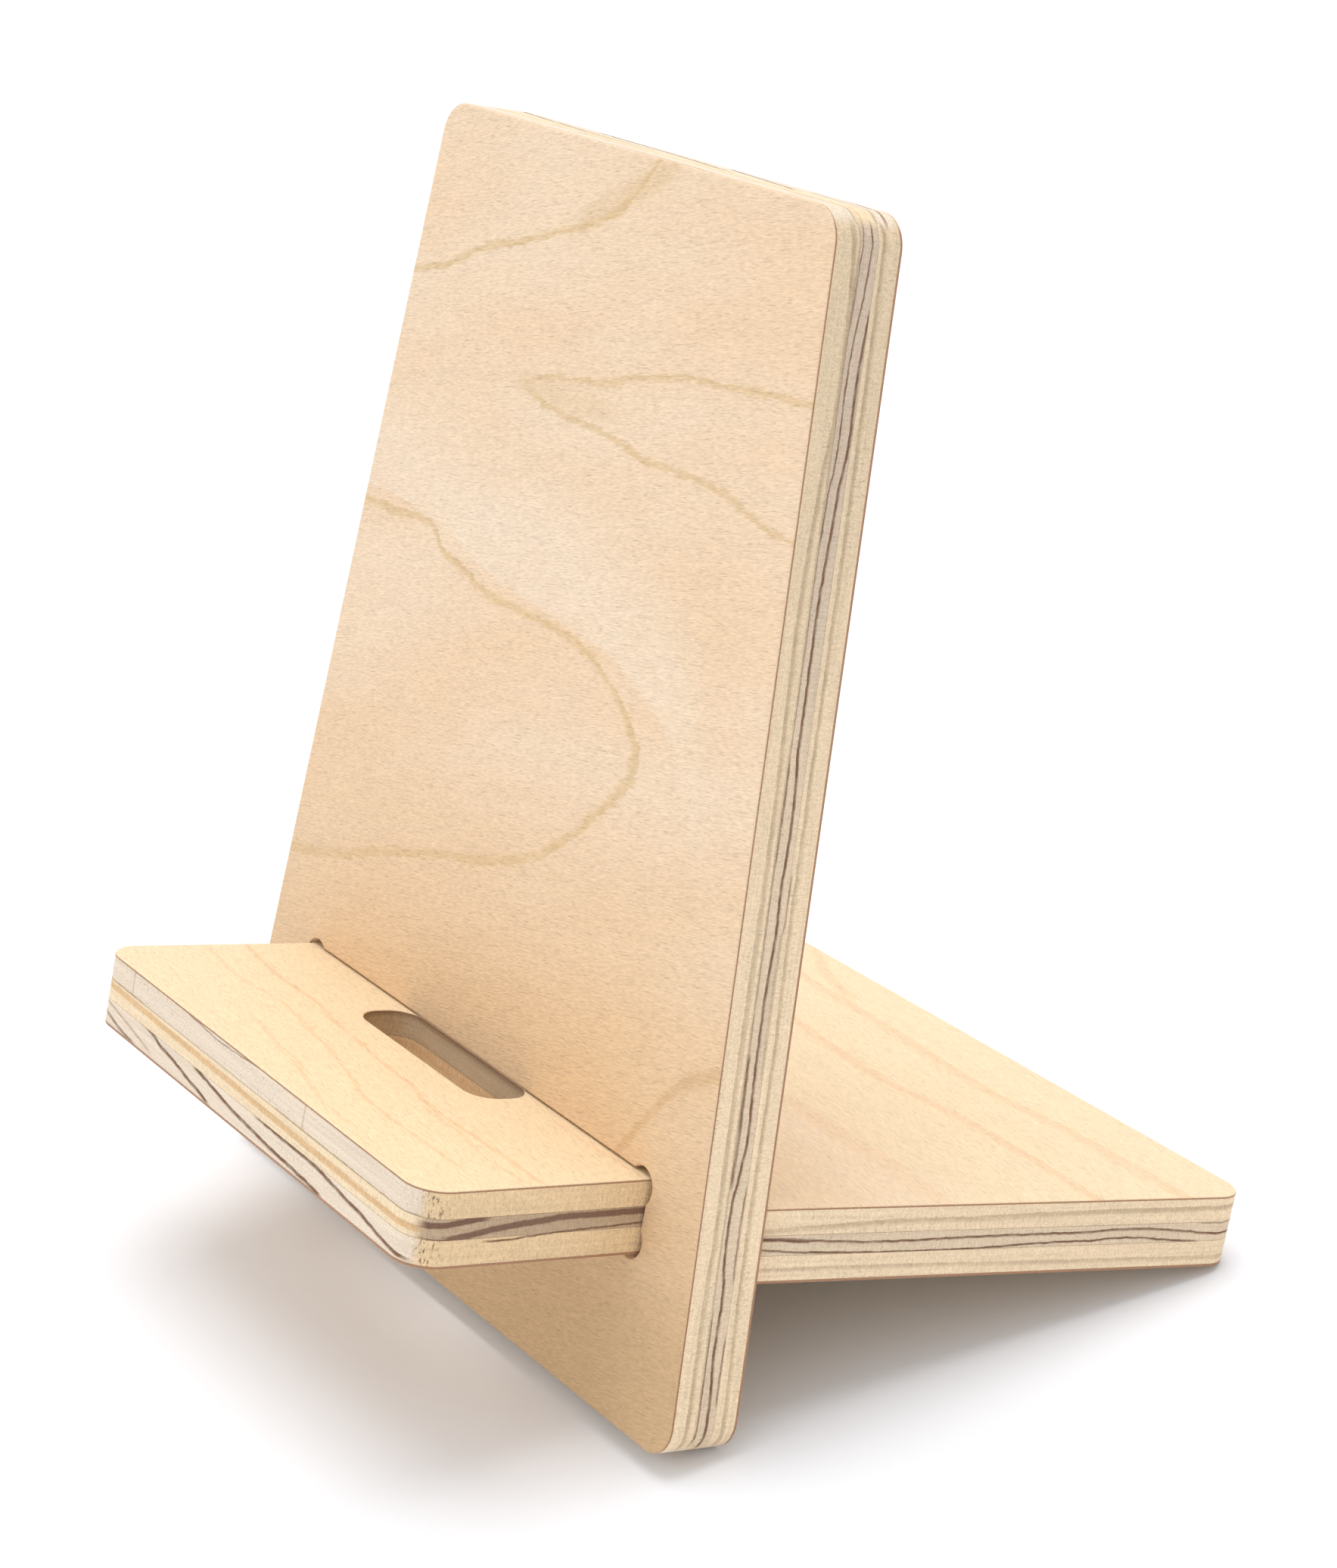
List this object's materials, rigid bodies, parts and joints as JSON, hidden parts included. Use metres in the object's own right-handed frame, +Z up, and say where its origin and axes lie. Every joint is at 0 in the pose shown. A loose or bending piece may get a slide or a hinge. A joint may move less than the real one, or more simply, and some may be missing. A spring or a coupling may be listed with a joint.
{
  "type": "phone stand",
  "caption": "Knock-down plywood phone stand: a leaning back board slotted over a cross board whose tongue is the phone shelf, with a cable hole through it.",
  "frame": {"origin": "middle of the footprint, on the table: half way across the stand, and half way between the shelf's front edge and the base plate's rear edge", "axes": "+Z up, +X to the right of someone who faces the phone, +Y to the rear, away from that person"},
  "size_m": [0.1466, 0.14, 0.178],
  "materials": {
    "face_veneer": "sanded bare wood",
    "crossband": "sawn bare edge",
    "core": "sawn bare edge"
  },
  "bodies": {
    "base_board": {"base_bottom_veneer": "face_veneer", "base_lower_crossband": "crossband", "base_core": "core", "base_upper_crossband": "crossband", "base_top_veneer": "face_veneer"},
    "back_board": {"back_rear_veneer": "face_veneer", "back_rear_crossband": "crossband", "back_core": "core", "back_front_crossband": "crossband", "back_front_veneer": "face_veneer"}
  },
  "joints": [
    {"name": "back_board_slide", "type": "slide", "parent": "base_board", "child": "back_board", "axis": [0, -0.961, 0.2765], "range_m": [0, 0.055]}
  ]
}
